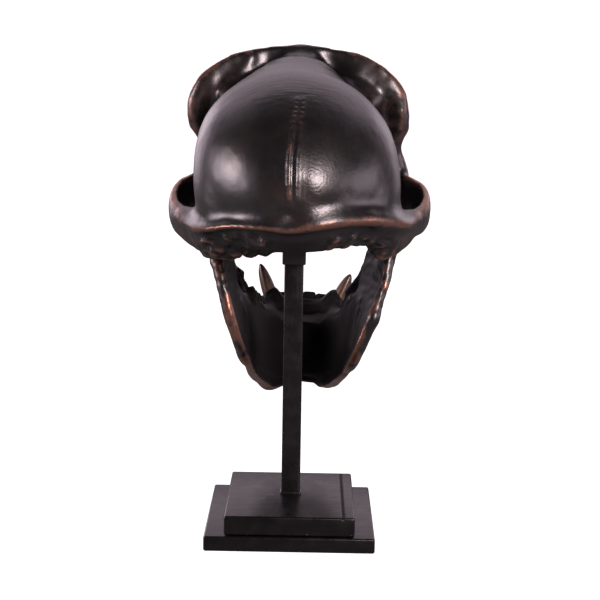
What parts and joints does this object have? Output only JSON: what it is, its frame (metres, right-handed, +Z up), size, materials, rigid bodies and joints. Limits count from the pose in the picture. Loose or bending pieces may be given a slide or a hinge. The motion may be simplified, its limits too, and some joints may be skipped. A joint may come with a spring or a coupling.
{
  "type": "macaque skull sculpture on a stand",
  "caption": "Bronze-finish cast of a macaque skull, head thrown back and jaw wide open, held on a square rod above a stepped black plinth.",
  "frame": {"origin": "centre of the lower plate's underside", "axes": "+Z up, -Y the way the face looks, +X the skull's left"},
  "size_m": [0.088, 0.1394, 0.158],
  "materials": {
    "bronze_cast": "cast resin with a near-black bronze patina, copper rubbed through on the crests",
    "black_steel": "satin black paint",
    "black_wood": "satin black paint on wood"
  },
  "bodies": {
    "root": {"cranium": "bronze_cast", "mandible": "bronze_cast", "mount_rod": "black_steel", "base_upper_plate": "black_wood", "base_lower_plate": "black_wood"}
  },
  "joints": []
}
